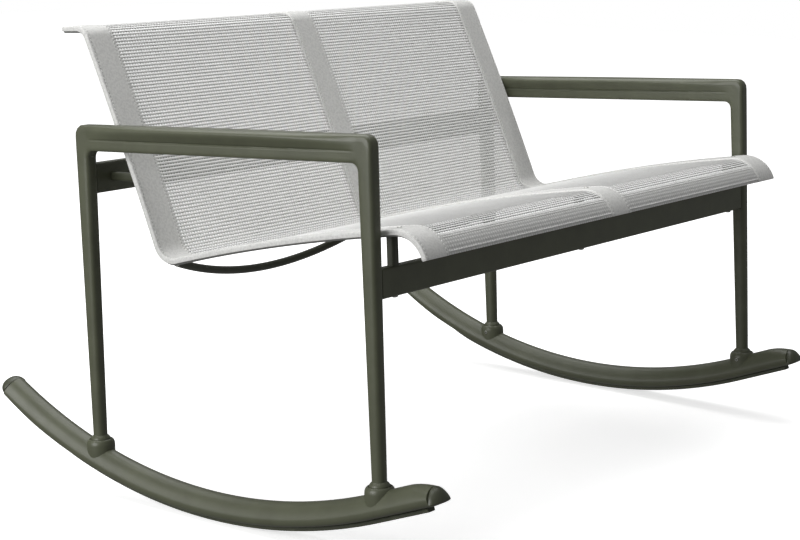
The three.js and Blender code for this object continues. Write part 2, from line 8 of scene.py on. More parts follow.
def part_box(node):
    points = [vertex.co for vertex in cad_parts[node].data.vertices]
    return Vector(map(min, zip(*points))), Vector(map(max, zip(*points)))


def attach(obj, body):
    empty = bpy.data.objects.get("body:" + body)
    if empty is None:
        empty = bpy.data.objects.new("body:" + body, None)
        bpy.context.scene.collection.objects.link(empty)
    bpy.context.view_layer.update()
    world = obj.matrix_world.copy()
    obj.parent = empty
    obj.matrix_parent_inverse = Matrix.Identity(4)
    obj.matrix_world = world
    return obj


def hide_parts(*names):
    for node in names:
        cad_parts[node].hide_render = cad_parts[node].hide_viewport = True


# A two-seat outdoor rocking settee: the fine surfaces, finishes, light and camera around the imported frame.
# The settee is drawn upright in metres, with y = 0 halfway between the legs and z = 0 under the runners'
# arc, and place() then leans it back about the arc's centre to where the frame stands.

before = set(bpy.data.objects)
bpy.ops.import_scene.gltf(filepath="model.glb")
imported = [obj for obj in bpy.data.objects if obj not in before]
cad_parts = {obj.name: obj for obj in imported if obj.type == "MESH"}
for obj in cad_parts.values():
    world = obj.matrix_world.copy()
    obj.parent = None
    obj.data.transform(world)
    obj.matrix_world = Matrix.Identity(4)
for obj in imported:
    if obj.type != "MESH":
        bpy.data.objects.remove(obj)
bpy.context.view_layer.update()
scene = bpy.context.scene

# ---- sizes --------------------------------------------------------------------------------------

GAP = 0.0003
REST_TILT = math.radians(3.1)
RUNNER_RADIUS = 0.922

LEG_SPAN = 0.562
LEG_TOP_HALF = (0.012, 0.0133)
LEG_FOOT_HALF = 0.0106
LEG_FOOT_EXPONENT = 2.3    # 2 is round, and more is squarer
LEG_TOP_EXPONENT = 3.8
ARM_TOP = 0.601
ARM_DEPTH = 0.041
ARM_STUB = 0.014
ARM_OUTER_RADIUS = 0.015
ARM_INNER_RADIUS = 0.012

ARC_LEAD = 0.0035
STRIP_THICKNESS = 0.007
STRIP_REAR_THICKNESS = 0.0012
STRIP_THINNING = 0.070
STRIP_WIDTH = 0.016
STRIP_FRONT_SETBACK = 0.015
STRIP_REAR_SETBACK = 0.112
RUNNER_WIDTH = 0.048
RUNNER_HEIGHT = 0.036
RUNNER_SHOULDER = 0.013
RUNNER_FRONT_REACH = 0.106
RUNNER_REAR_REACH = 0.206
FRONT_DIP = 0.009
FRONT_DIP_LENGTH = 0.042
REAR_LIFT = 0.005
REAR_LIFT_LENGTH = 0.090
FRONT_CAP_LENGTH = 0.013
REAR_CAP_LENGTH = 0.018
FRONT_NOSE = -0.009
REAR_NOSE = 0.005
SOCKET_RADIUS = 0.0225
SOCKET_RISE = 0.0085
SOCKET_SHOULDER = (0.006, 0.010)

RAIL_THICKNESS = 0.008
RAIL_WIDTH = 0.050
STRAP_THICKNESS = 0.0025
SEAT_CROWN_REACH = 0.023
SEAT_CROWN_HEIGHT = 0.4618
NOSE_RADIUS = 0.052
NOSE_TURN = math.radians(80.5)
SEAT_FRONT_SLOPE = math.radians(5.5)
SEAT_REAR_SLOPE = math.radians(13)
BEND_RADIUS = 0.032
BACK_FOOT_SLOPE = math.radians(69.5)
BACK_TOP_SLOPE = math.radians(66.5)
BACK_LENGTH = 0.349
TAIL_RADIUS = 0.024
TAIL_LENGTH = 0.032

SPREADER_RADIUS = 0.0065
SPREADER_BOW = 0.046

WARP_PITCH = 0.00605      # between yarns, across the seat
WEFT_PITCH = 0.0055       # between yarns, along the seat
WARP_WIDTH = 0.0041
WEFT_WIDTH = 0.0042
YARN_THICKNESS = 0.0007
YARN_BEND = 0.07      # at a crossing, as a share of the thickness
YARN_OFFSET = 0.3     # of the weft in front and the warp behind, as a share of the thickness
TAIL_HEM = 0.020
NOSE_HEM = 0.034
STITCH_PITCH = 0.0058
STITCH_LENGTH = 0.0040
STITCH_RADIUS = 0.0009


# ---- surfaces -----------------------------------------------------------------------------------

def grid_quads(rows, columns, wrap):
    """Corner numbers of the quads of a grid of points, row by row.
    Wrap joins the last column to the first."""
    row = np.arange(rows - 1)[:, None] * columns
    near = np.arange(columns if wrap else columns - 1)[None, :]
    far = (near + 1) % columns
    return np.stack([row + near, row + far, row + columns + far, row + columns + near], -1).reshape(-1, 4)


def volume(points, faces):
    """Six times the signed volume: the sum over fans of each face of corner . (corner x corner)."""
    a = points[faces[:, 0]]
    b = points[faces[:, 1:-1]]
    c = points[faces[:, 2:]]
    return float(np.einsum("ik,ijk->", a, np.cross(b, c)))


def add_piece(name, points, faces, material, replaced=(), sharp=35, uv=None):
    """A mesh object in the row frame, faces out, smooth but for edges sharper than that many degrees."""
    mesh = bpy.data.meshes.new(name)
    mesh.from_pydata(points.reshape(-1, 3).tolist(), [], faces)
    if uv is not None:
        layer = mesh.uv_layers.new(name="pattern")
        layer.data.foreach_set("uv", uv.astype(np.float32).ravel())
    mesh.validate()
    mesh.shade_smooth()
    mesh.set_sharp_from_angle(angle=math.radians(sharp))
    mesh.materials.append(material)
    piece = bpy.data.objects.new(name, mesh)
    scene.collection.objects.link(piece)
    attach(piece, "root")
    if replaced:
        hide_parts(*replaced)
    return piece


def skin(name, rings, material, replaced=(), sharp=35, along=None, around=None):
    """A closed body through rings of points: quads between neighbouring rings and a flat face on each end.
    along and around are the pattern's two lengths at each ring and each ring point."""
    rows, columns = rings.shape[:2]
    points = place(rings).reshape(-1, 3)
    quads = grid_quads(rows, columns, True)
    if volume(points, quads) < 0:
        quads = quads[:, ::-1]
        ends = [list(range(columns)), list(range(rows * columns - 1, (rows - 1) * columns - 1, -1))]
    else:
        ends = [list(range(columns - 1, -1, -1)), list(range((rows - 1) * columns, rows * columns))]
    uv = None
    if along is not None:
        ring, step = np.divmod(quads, columns)
        rolled = np.where((quads % columns == 0) & ((quads.max(1, keepdims=True) % columns) == columns - 1),
                          columns, step)
        wide = np.append(around, around[-1] + np.linalg.norm(rings[0, 0] - rings[0, -1]))
        sides = np.stack([np.asarray(along)[ring], wide[rolled]], -1).reshape(-1, 2)
        uv = np.concatenate([sides, np.zeros((2 * columns, 2))])
    return add_piece(name, points, quads.tolist() + ends, material, replaced, sharp, uv)


def superellipse(half_x, half_z, exponent, count):
    """Points of |x/a|^n + |z/b|^n = 1, spread evenly by length."""
    angle = 2 * np.pi * np.arange(721) / 720
    c, s = np.cos(angle), np.sin(angle)
    power = 2 / exponent
    x = half_x * np.sign(c) * abs(c) ** power
    z = half_z * np.sign(s) * abs(s) ** power
    return spaced(np.stack([x, z], -1), count + 1)[:-1]


def rounded_box(half_x, half_z, radius, steps=5):
    """A rectangle's outline with a quarter circle of that radius on each corner."""
    turn = np.linspace(0, np.pi / 2, steps)
    angle = np.concatenate([turn + k * np.pi / 2 for k in range(4)])
    quarter = np.repeat(np.arange(4), steps)
    x = np.where((quarter == 0) | (quarter == 3), 1, -1) * (half_x - radius) + radius * np.cos(angle)
    z = np.where(quarter < 2, 1, -1) * (half_z - radius) + radius * np.sin(angle)
    return np.stack([x, z], -1)


def mirrored(half):
    """A closed outline from its right half, listed from the bottom centre to the top centre."""
    half = np.array(half, float)
    return np.concatenate([half, half[-2:0:-1] * (-1, 1)])


def through(points, count):
    """A closed smooth line through the points: cubics whose slope at a point is half the step between its
    neighbours, sampled evenly by point number."""
    points = np.array(points, float)
    at = np.arange(count) * len(points) / count
    i = np.floor(at).astype(int)
    f = (at - i)[:, None]
    a, b, c, d = (points[(i + k) % len(points)] for k in (-1, 0, 1, 2))
    return b + 0.5 * f * (c - a + f * (2 * a - 5 * b + 4 * c - d + f * (3 * (b - c) + d - a)))


def turned(profile, segments=48):
    """Rings of a piece turned on the Z axis: each ring holds the profile's points at one angle.
    The profile is [radius, height] from the axis or the bore, and is closed by the caller's last point."""
    profile = np.array(profile, float)
    angle = 2 * np.pi * np.arange(segments) / segments
    r, z = profile[:, 0, None], profile[:, 1, None]
    return np.stack([r * np.cos(angle), r * np.sin(angle), z + 0 * angle], -1)


def arc_points(centre, radius, start, stop, steps):
    """Points of a circular arc, from one angle in degrees to another."""
    angle = np.radians(np.linspace(start, stop, steps))
    return np.stack([centre[0] + radius * np.cos(angle), centre[1] + radius * np.sin(angle)], -1)


def spaced(line, count):
    """Points spread evenly by length along a line of points."""
    line = np.array(line, float)
    reach = np.concatenate([[0], np.cumsum(np.linalg.norm(np.diff(line, axis=0), axis=1))])
    at = np.linspace(0, reach[-1], count)
    return np.stack([np.interp(at, reach, line[:, k]) for k in range(line.shape[1])], -1)


# ---- the seat's side view -------------------------------------------------------------------------

def trace(seat_length, count=1600):
    """The line of the rails' top face, from the tail to the nose. Its heading turns evenly along each
    stroke, and its points are the running sum of (cos, sin) of the heading."""
    strokes = np.array([
        (TAIL_LENGTH, 0),
        (TAIL_RADIUS * BACK_TOP_SLOPE, -BACK_TOP_SLOPE),
        (BACK_LENGTH, BACK_TOP_SLOPE - BACK_FOOT_SLOPE),
        (BEND_RADIUS * (BACK_FOOT_SLOPE + SEAT_REAR_SLOPE), BACK_FOOT_SLOPE + SEAT_REAR_SLOPE),
        (seat_length, SEAT_FRONT_SLOPE - SEAT_REAR_SLOPE),
        (NOSE_RADIUS * NOSE_TURN, -NOSE_TURN),
    ])
    marks = np.concatenate([[0], np.cumsum(strokes[:, 0])])
    reach = np.linspace(0, marks[-1], count)
    middle = (reach[1:] + reach[:-1]) / 2
    heading_at = lambda s: np.interp(s, marks, np.concatenate([[0], np.cumsum(strokes[:, 1])]))
    steps = np.diff(reach) * np.array([np.cos(heading_at(middle)), np.sin(heading_at(middle))])
    line = np.concatenate([[[0, 0]], np.cumsum(steps.T, axis=0)])
    crown = np.array([np.interp(marks[-2], reach, line[:, k]) for k in range(2)])
    line += np.array([SEAT_CROWN_REACH, SEAT_CROWN_HEIGHT]) - crown
    heading = heading_at(reach)
    side = np.stack([-LEG_SPAN / 2 - line[:, 0], line[:, 1]], -1)
    normal = np.stack([np.sin(heading), np.cos(heading)], -1)
    return reach, side, normal, marks


def lean(points):
    """Leans upright points back about the centre of the runners' arc."""
    x, y, z = points[..., 0], points[..., 1], points[..., 2] - RUNNER_RADIUS
    c, s = math.cos(REST_TILT), math.sin(REST_TILT)
    return np.stack([x, y * c + z * s, z * c - y * s + RUNNER_RADIUS], -1)


def strap_outline(side, normal):
    """The strap's top and lower edges in side view, as upright points."""
    faces = [side + normal * h for h in (GAP + STRAP_THICKNESS, -0.005)]
    flat = np.concatenate(faces)
    return np.concatenate([np.zeros((len(flat), 1)), flat], 1)


strap_low, strap_high = (np.array(corner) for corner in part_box("strap_left"))
seat_length = 0.43
for _ in range(6):
    seat_reach, seat_side, seat_normal, seat_marks = trace(seat_length)
    leaned = lean(strap_outline(seat_side, seat_normal))
    seat_length += (strap_high - strap_low)[1] - np.ptp(leaned[:, 1])
shift = (strap_low + strap_high) / 2 - (leaned.min(0) + leaned.max(0)) / 2
shift[0] = 0


def place(points):
    """Upright points to the row frame: leaned back, then moved to where the frame stands."""
    return lean(points) + shift


def upright(corner_pair):
    """The middle of a CAD node's box, as an upright point."""
    x, y, z = (np.array(corner_pair[0]) + np.array(corner_pair[1])) / 2 - shift
    c, s = math.cos(REST_TILT), math.sin(REST_TILT)
    z -= RUNNER_RADIUS
    return np.array([x, y * c - z * s, y * s + z * c + RUNNER_RADIUS])


def on_seat(x, reach, height):
    """Upright points at x across, a reach along the seat's line and a height off the rails' top face."""
    x, reach, height = np.broadcast_arrays(x, reach, height)
    y, z, ny, nz = (np.interp(reach, seat_reach, v) for v in (*seat_side.T, *seat_normal.T))
    return np.stack([x, y + ny * height, z + nz * height], -1)


SIDES = {side: upright(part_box(f"front_leg_{side}"))[0] for side in ("left", "right")}
RAILS = {rail: upright(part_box(f"seat_rail_{rail}"))[0] for rail in ("left", "middle", "right")}
LEGS = {"front": -LEG_SPAN / 2, "rear": LEG_SPAN / 2}


# ---- finishes -------------------------------------------------------------------------------------

def new_material(name, color, roughness, **sockets):
    """A Principled finish, with its node tree, shader and Object coordinates."""
    material = bpy.data.materials.new(name)
    material.use_nodes = True
    tree = material.node_tree
    shader = tree.nodes["Principled BSDF"]
    shader.inputs["Base Color"].default_value = (*color, 1)
    shader.inputs["Roughness"].default_value = roughness
    for socket, value in sockets.items():
        shader.inputs[socket.replace("_", " ")].default_value = value
    where = tree.nodes.new("ShaderNodeTexCoord")
    return material, tree, shader, where


def noise(tree, where, scale, detail=3, stretch=(1, 1, 1)):
    """Noise on stretched Object coordinates, in features per metre."""
    mapping = tree.nodes.new("ShaderNodeMapping")
    mapping.inputs["Scale"].default_value = stretch
    tree.links.new(where.outputs["Object"], mapping.inputs["Vector"])
    texture = tree.nodes.new("ShaderNodeTexNoise")
    texture.inputs["Scale"].default_value = scale
    texture.inputs["Detail"].default_value = detail
    tree.links.new(mapping.outputs["Vector"], texture.inputs["Vector"])
    return texture.outputs["Fac"]


def ramp(tree, value, stops):
    """A colour ramp: stops are (place, colour)."""
    node = tree.nodes.new("ShaderNodeValToRGB")
    elements = node.color_ramp.elements
    for element, (at, color) in zip(elements, (stops[0], stops[-1])):
        element.position = at
        element.color = (*color, 1)
    for at, color in stops[1:-1]:
        elements.new(at).color = (*color, 1)
    tree.links.new(value, node.inputs["Fac"])
    return node.outputs["Color"]


def spread(tree, value, low, high):
    """Maps 0..1 to low..high."""
    node = tree.nodes.new("ShaderNodeMapRange")
    node.inputs["To Min"].default_value = low
    node.inputs["To Max"].default_value = high
    tree.links.new(value, node.inputs["Value"])
    return node.outputs["Result"]


def bump(tree, shader, heights):
    """Chains bumps onto the shader's normal: heights are (value, strength, distance)."""
    normal = None
    for value, strength, distance in heights:
        node = tree.nodes.new("ShaderNodeBump")
        node.inputs["Strength"].default_value = strength
        node.inputs["Distance"].default_value = distance
        tree.links.new(value, node.inputs["Height"])
        if normal is not None:
            tree.links.new(normal, node.inputs["Normal"])
        normal = node.outputs["Normal"]
    tree.links.new(normal, shader.inputs["Normal"])


def powder_paint(name, color):
    """Satin powder coat: fine orange peel, a faint mottle and slightly uneven gloss."""
    material, tree, shader, where = new_material(
        name, color, 0.42, Coat_Weight=0.12, Coat_Roughness=0.25, Specular_IOR_Level=0.5)
    mottle = noise(tree, where, 26, 5)
    shade = lambda k: tuple(c * k for c in color)
    tree.links.new(ramp(tree, mottle, [(0.3, shade(0.9)), (0.5, shade(1.0)), (0.72, shade(1.1))]),
                   shader.inputs["Base Color"])
    tree.links.new(spread(tree, noise(tree, where, 60, 4), 0.34, 0.5), shader.inputs["Roughness"])
    bump(tree, shader, [(noise(tree, where, 900, 2), 0.12, 0.0004), (noise(tree, where, 45, 2), 0.05, 0.002)])
    return material


def weave_material(name, color, roughness, pitch, depth, valley_shade):
    """Woven vinyl on the piece's pattern map, in metres: two crossed sets of ribs, painted shade in the
    valleys between them with a faint painted highlight on their tops, and a broken shine.
    """
    material, tree, shader, where = new_material(name, color, roughness,
                                                 Sheen_Weight=0.15, Sheen_Roughness=0.5)
    pattern = tree.nodes.new("ShaderNodeUVMap")
    pattern.uv_map = "pattern"
    ribs = []
    for direction in ("X", "Y"):
        wave = tree.nodes.new("ShaderNodeTexWave")
        wave.wave_type = "BANDS"
        wave.bands_direction = direction
        wave.inputs["Scale"].default_value = 1 / pitch / 20 * math.pi
        wave.inputs["Distortion"].default_value = 0.6
        wave.inputs["Detail"].default_value = 1
        tree.links.new(pattern.outputs["UV"], wave.inputs["Vector"])
        ribs.append(wave.outputs["Fac"])
    cross = tree.nodes.new("ShaderNodeMath")
    cross.operation = "MULTIPLY"
    tree.links.new(ribs[0], cross.inputs[0])
    tree.links.new(ribs[1], cross.inputs[1])
    weave = cross.outputs["Value"]
    shade = lambda k: tuple(c * k for c in color)
    mottle = tree.nodes.new("ShaderNodeMix")
    mottle.data_type = "RGBA"
    mottle.blend_type = "MULTIPLY"
    mottle.inputs["Factor"].default_value = 1.0
    # Painted shade: the colour darkens by valley_shade in the valleys between the woven ribs, with a faint
    # painted highlight on their tops.
    tree.links.new(ramp(tree, weave, [(0.0, shade(1 - valley_shade)), (0.5, shade(1.0)), (1.0, shade(1.04))]),
                   mottle.inputs["A"])
    tree.links.new(ramp(tree, noise(tree, where, 260, 4), [(0.36, (0.86, 0.86, 0.86)), (0.6, (1, 1, 1))]),
                   mottle.inputs["B"])
    tree.links.new(mottle.outputs["Result"], shader.inputs["Base Color"])
    tree.links.new(spread(tree, noise(tree, where, 140, 3), roughness - 0.08, roughness + 0.1),
                   shader.inputs["Roughness"])
    bump(tree, shader, [(weave, 0.5, depth), (noise(tree, where, 90, 3), 0.1, 0.001)])
    return material


def yarn_material(name, color):
    """Vinyl-coated yarn: smooth, with small differences of shade from place to place."""
    material, tree, shader, where = new_material(name, color, 0.45, Sheen_Weight=0.1)
    shade = lambda k: tuple(c * k for c in color)
    tree.links.new(ramp(tree, noise(tree, where, 210, 3), [(0.3, shade(0.93)), (0.7, shade(1.05))]),
                   shader.inputs["Base Color"])
    tree.links.new(spread(tree, noise(tree, where, 320, 2), 0.36, 0.56), shader.inputs["Roughness"])
    bump(tree, shader, [(noise(tree, where, 1500, 2), 0.15, 0.0003)])
    return material


def drawn_metal(name, color, roughness, metallic):
    """Metal with fine lines along the seat's profile and uneven gloss."""
    material, tree, shader, where = new_material(name, color, roughness, Metallic=metallic)
    lines = noise(tree, where, 60, 4, stretch=(30, 1, 1))
    shade = lambda k: tuple(c * k for c in color)
    tree.links.new(ramp(tree, lines, [(0.35, shade(0.88)), (0.65, shade(1.08))]), shader.inputs["Base Color"])
    tree.links.new(spread(tree, lines, roughness - 0.08, roughness + 0.12), shader.inputs["Roughness"])
    bump(tree, shader, [(lines, 0.12, 0.0003)])
    return material


def moulded_nylon(name, color):
    """Matte moulded plastic with a fine grain and scuffs that roughen its underside."""
    material, tree, shader, where = new_material(name, color, 0.6)
    scuff = noise(tree, where, 160, 6, stretch=(1, 0.2, 1))
    shade = lambda k: tuple(c * k for c in color)
    tree.links.new(ramp(tree, scuff, [(0.4, shade(0.9)), (0.6, shade(1.05)), (0.78, shade(1.5))]),
                   shader.inputs["Base Color"])
    tree.links.new(spread(tree, scuff, 0.5, 0.8), shader.inputs["Roughness"])
    bump(tree, shader, [(noise(tree, where, 1200, 2), 0.2, 0.0003)])
    return material


OLIVE = powder_paint("olive_powder_coat", (0.088, 0.095, 0.058))
# The same olive powder coat painted darker: painted shade on the runners' end caps and on the posts, brackets
# and spreaders under the seat.
OLIVE_PAINTED_SHADE = powder_paint("olive_powder_coat_painted_shade", (0.052, 0.057, 0.034))
# The last number is the depth of painted shade in the weave's valleys.
VINYL = weave_material("white_strap_vinyl", (0.79, 0.79, 0.768), 0.5, 0.0011, 0.0003, 0.08)
HEM = weave_material("folded_mesh_hem", (0.82, 0.82, 0.80), 0.55, 0.0030, 0.0008, 0.3)
YARN = yarn_material("coated_mesh_yarn", (0.86, 0.86, 0.845))
THREAD = yarn_material("white_sewing_thread", (0.9, 0.9, 0.885))
RAIL_METAL = drawn_metal("mill_finish_rail", (0.323, 0.328, 0.31), 0.42, 0.6)
NYLON = moulded_nylon("dark_glide_nylon", (0.067, 0.073, 0.046))
STEEL = drawn_metal("bright_fastener_steel", (0.485, 0.491, 0.462), 0.28, 1.0)


# ---- arms -----------------------------------------------------------------------------------------

def hoop_edges():
    """Matching points of the arm's inner and outer edges, from the rear stub to the front one. Round each
    corner the inner point follows the fillet while the outer one follows the corner at even lengths."""
    out = LEG_SPAN / 2 + LEG_TOP_HALF[1]
    inn = LEG_SPAN / 2 - LEG_TOP_HALF[1]
    under = ARM_TOP - ARM_DEPTH
    foot = under - ARM_STUB
    spring = under - ARM_INNER_RADIUS
    stub = np.linspace(foot, spring, 3)[:-1]
    bend = arc_points((inn - ARM_INNER_RADIUS, spring), ARM_INNER_RADIUS, 0, 90, 13)
    around = np.concatenate([
        [(out, spring)],
        arc_points((out - ARM_OUTER_RADIUS, ARM_TOP - ARM_OUTER_RADIUS), ARM_OUTER_RADIUS, 0, 90, 24),
        [(inn - ARM_INNER_RADIUS, ARM_TOP)],
    ])
    bar = np.linspace(inn - ARM_INNER_RADIUS, 0, 34)[1:]
    inner = np.concatenate([np.stack([inn + 0 * stub, stub], -1), bend, np.stack([bar, under + 0 * bar], -1)])
    outer = np.concatenate([np.stack([out + 0 * stub, stub], -1), spaced(around, 13),
                            np.stack([bar, ARM_TOP + 0 * bar], -1)])
    corner = np.concatenate([np.zeros(len(stub)), np.linspace(0, 1, 13), np.ones(len(bar))])
    both = lambda half: np.concatenate([half, half[-2::-1] * (-1, 1)])
    return both(inner), both(outer), np.concatenate([corner, corner[-2::-1]])


def arm_rings():
    """The arm: across each pair of hoop points stands a section that goes from the leg's superellipse to
    a plain bar round the corner, and swells to a pad by (1 - share^2)^0.75 of the length. A groove under
    the pad is a bell curve of the height, and fades by 1 - share^10."""
    inner, outer, corner = hoop_edges()
    depth = ARM_DEPTH
    plain = np.array([(0, 0), (5.8, 0), (10, 0.8), (11.7, 3.6), (12, 9), (12, 13), (12, 17),
                      (12, 22), (12, 28), (11.9, 33.5), (10.6, 38.6), (6.2, 41), (0, 41)])
    pad = np.array([(0, 0), (5.8, 0), (10, 0.8), (11.7, 3.6), (12, 9), (12, 14), (12.4, 18),
                    (15.4, 23), (19, 27.6), (21.6, 32), (21.4, 37), (14.6, 40.8), (0, 41)])
    angle = np.linspace(-np.pi / 2, np.pi / 2, len(plain))
    power = 2 / LEG_TOP_EXPONENT
    leg = np.stack([12 * abs(np.cos(angle)) ** power,
                    (1 + np.sign(angle) * abs(np.sin(angle)) ** power) * depth * 500], -1)
    ring = lambda half: spaced(through(mirrored(half), 400), 161)[:-1] / 1000
    share = np.clip(outer[:, 0] / (LEG_SPAN / 2 - LEG_TOP_HALF[1]), -1, 1)[:, None]
    swell = ((1 - share ** 2) ** 0.75)[..., None]
    corner = corner[:, None, None]
    bar = ring(plain) * (1 - swell) + ring(pad) * swell
    section = ring(leg) * (1 - corner) + bar * corner
    x, height = section[..., 0], section[..., 1]
    bell = np.exp(-((height - 0.0180) / 0.0016) ** 2)
    x = x - np.sign(x) * 0.0018 * bell * (1 - share ** 10) * corner[..., 0]
    rise = height[..., None] / depth
    side = inner[:, None] * (1 - rise) + outer[:, None] * rise
    return np.concatenate([x[..., None], side], -1)


def at_x(rings, x):
    """The rings, moved across by x."""
    return rings + np.array([x, 0, 0])


for side, x in SIDES.items():
    skin(f"arm_{side}", at_x(arm_rings(), x), OLIVE, [f"armrest_{side}"])


# ---- legs, collars and sockets --------------------------------------------------------------------

def runner_top_at(y):
    """Height of the runner's top at a distance from the middle of the legs, on its arc."""
    top_radius = RUNNER_RADIUS - STRIP_THICKNESS - RUNNER_HEIGHT
    return RUNNER_RADIUS - math.sqrt(top_radius ** 2 - (y + ARC_LEAD) ** 2)


def leg_rings(socket_top):
    """The leg's section: nearly round in the socket, and growing above the collar into a squarer
    superellipse under the arm. Its exponent rises in step with its size."""
    top = ARM_TOP - ARM_DEPTH - ARM_STUB
    heights = np.concatenate([[socket_top - 0.004], np.linspace(socket_top + 0.0055, top, 28)])
    share = np.clip((heights - heights[1]) / (top - heights[1]), 0, 1)
    rings = [np.column_stack([superellipse(
        LEG_FOOT_HALF + (LEG_TOP_HALF[0] - LEG_FOOT_HALF) * k,
        LEG_FOOT_HALF + (LEG_TOP_HALF[1] - LEG_FOOT_HALF) * k,
        LEG_FOOT_EXPONENT + (LEG_TOP_EXPONENT - LEG_FOOT_EXPONENT) * k, 56),
        np.full(56, z)]) for k, z in zip(share, heights)]
    return np.array(rings)


def socket_rings(socket_top):
    """The socket: a barrel that draws in a little as it goes down into the runner, with a rounded
    shoulder and a narrow step where the collar stands."""
    foot = socket_top - SOCKET_RISE - 0.027
    wide, tall = SOCKET_SHOULDER
    inner = SOCKET_RADIUS - wide
    turn = np.radians(np.linspace(0, 80, 16))
    shoulder = np.stack([inner + wide * np.cos(turn), socket_top - tall + tall * np.sin(turn)], -1)
    barrel = [(0.0, foot), (SOCKET_RADIUS - 0.0012, foot), (SOCKET_RADIUS - 0.0005, foot + 0.009),
              (SOCKET_RADIUS - 0.0001, foot + 0.016)]
    step = [(inner + 0.0004, socket_top - 0.0007), (inner, socket_top - 0.0020), (0.0, socket_top - 0.0020)]
    return turned(np.concatenate([barrel, shoulder, step]), 72)


COLLAR = [(0.0, -1.9), (15.7, -1.9), (15.8, -0.6), (15.75, 0.4), (15.4, 1.5), (14.6, 2.9), (13.5, 4.2),
          (12.3, 5.3), (11.4, 6.1), (10.9, 6.5), (10.7, 6.5), (0.0, 6.5)]

for side, x in SIDES.items():
    for end, y in LEGS.items():
        at_leg = np.array([x, y, 0])
        top = runner_top_at(y) + SOCKET_RISE
        skin(f"leg_{end}_{side}", leg_rings(top) + at_leg, OLIVE, [f"{end}_leg_{side}"])
        skin(f"socket_{end}_{side}", socket_rings(top) + at_leg, OLIVE,
             [f"leg_socket_{end}_{side}"])
        skin(f"collar_{end}_{side}", turned(np.array(COLLAR) / 1000, 56) + at_leg + (0, 0, top),
             OLIVE, [f"leg_collar_{end}_{side}"], sharp=60)


# ---- runners, caps and glide strips ---------------------------------------------------------------
# Distances along a runner are from the lowest point of its arc, positive to the rear. The arc runs on
# straight ahead of the front leg.

line_to = lambda y: RUNNER_RADIUS * math.asin((y + ARC_LEAD) / RUNNER_RADIUS)
straight_from = line_to(-LEG_SPAN / 2)
runner_front = straight_from - RUNNER_FRONT_REACH / math.cos(straight_from / RUNNER_RADIUS)
runner_rear = line_to(LEG_SPAN / 2 + RUNNER_REAR_REACH)
runner_lift = STRIP_THICKNESS + RUNNER_SHOULDER


def on_runner(outlines, along, lift):
    """Rings of outlines stood on the rolling line, a lift above it: (x, r sin a, R - r cos a), where r is
    R - lift - height, and moved on along the tangent ahead of the front leg."""
    along = np.asarray(along)[:, None]
    angle = np.maximum(along, straight_from) / RUNNER_RADIUS
    ahead = np.minimum(along - straight_from, 0)
    r = RUNNER_RADIUS - lift - outlines[..., 1]
    return np.stack([outlines[..., 0] + 0 * angle, r * np.sin(angle) + ahead * np.cos(angle) - ARC_LEAD,
                     RUNNER_RADIUS - r * np.cos(angle) + ahead * np.sin(angle)], -1)


def runner_halves(along):
    """The runner's half heights above and below its widest line: the upper one falls by the square of the
    nearness to the front end, and the lower one by its power 1.5 near the rear end."""
    near_front = max(0, 1 - (along - runner_front) / FRONT_DIP_LENGTH)
    near_rear = max(0, 1 - (runner_rear - along) / REAR_LIFT_LENGTH)
    return (RUNNER_HEIGHT - RUNNER_SHOULDER - FRONT_DIP * near_front ** 2,
            RUNNER_SHOULDER - REAR_LIFT * near_rear ** 1.5)


def runner_section(half, up, down, count=84):
    """The runner's outline: (a cos t, b |sin t|^1.5) above its widest line, a narrow dome, and a flatter
    curve with both powers 0.62 below. Its points are spread evenly by length."""
    t = 2 * np.pi * np.arange(721) / 720
    c, s = np.cos(t), np.sin(t)
    above = np.stack([half * c, up * np.sign(s) * abs(s) ** 1.5], -1)
    below = np.stack([half * np.sign(c) * abs(c) ** 0.62, -down * abs(s) ** 0.62], -1)
    return spaced(np.where((s > 0)[:, None], above, below), count + 1)[:-1]


def runner_rings():
    """The runner's section at even distances from end to end."""
    along = np.linspace(runner_front, runner_rear, 150)
    outlines = [runner_section(RUNNER_WIDTH / 2, *runner_halves(s)) for s in along]
    return on_runner(np.array(outlines), along, runner_lift)


def cap_rings(end, outward, length, nose):
    """An end cap: going out by the sine of a quarter turn, its heights shrink towards the nose's height
    by the cosine, and its width by a little less."""
    up, down = runner_halves(end)
    turn = np.radians(np.concatenate([[0, 0], np.linspace(4, 84, 16)]))
    inset = np.array([0.0009, 0.0004] + [0.0004] * 16)
    outlines = []
    for k, trim in zip(turn, inset):
        tall, wide = math.cos(k), math.sqrt(1 - 0.9 * math.sin(k) ** 2)
        outlines.append(runner_section((RUNNER_WIDTH / 2 - trim) * wide, (up - trim - nose) * tall,
                                       (down - trim + nose) * tall) + (0, nose))
    reach = np.sin(turn) * length + np.where(np.arange(18) == 0, 0.0, 0.0005)
    return on_runner(np.array(outlines), end + outward * (GAP + reach), runner_lift)


def glide_rings():
    """The glide strip: a flat rounded bar whose underside rises, by the square of the nearness to its rear
    end, until it is thin there."""
    along = np.linspace(runner_front + STRIP_FRONT_SETBACK, runner_rear - STRIP_REAR_SETBACK, 150)
    near_rear = np.clip(1 - (along[-1] - along) / STRIP_THINNING, 0, 1)[:, None] ** 2
    section = rounded_box(STRIP_WIDTH / 2, (STRIP_THICKNESS - GAP) / 2, 0.0016)
    high = (section[:, 1] / (STRIP_THICKNESS - GAP) + 0.5)[None]
    low = near_rear * (STRIP_THICKNESS - STRIP_REAR_THICKNESS)
    heights = low + (STRIP_THICKNESS - GAP - low) * high
    return on_runner(np.stack([section[None, :, 0] + 0 * heights, heights], -1), along, 0)


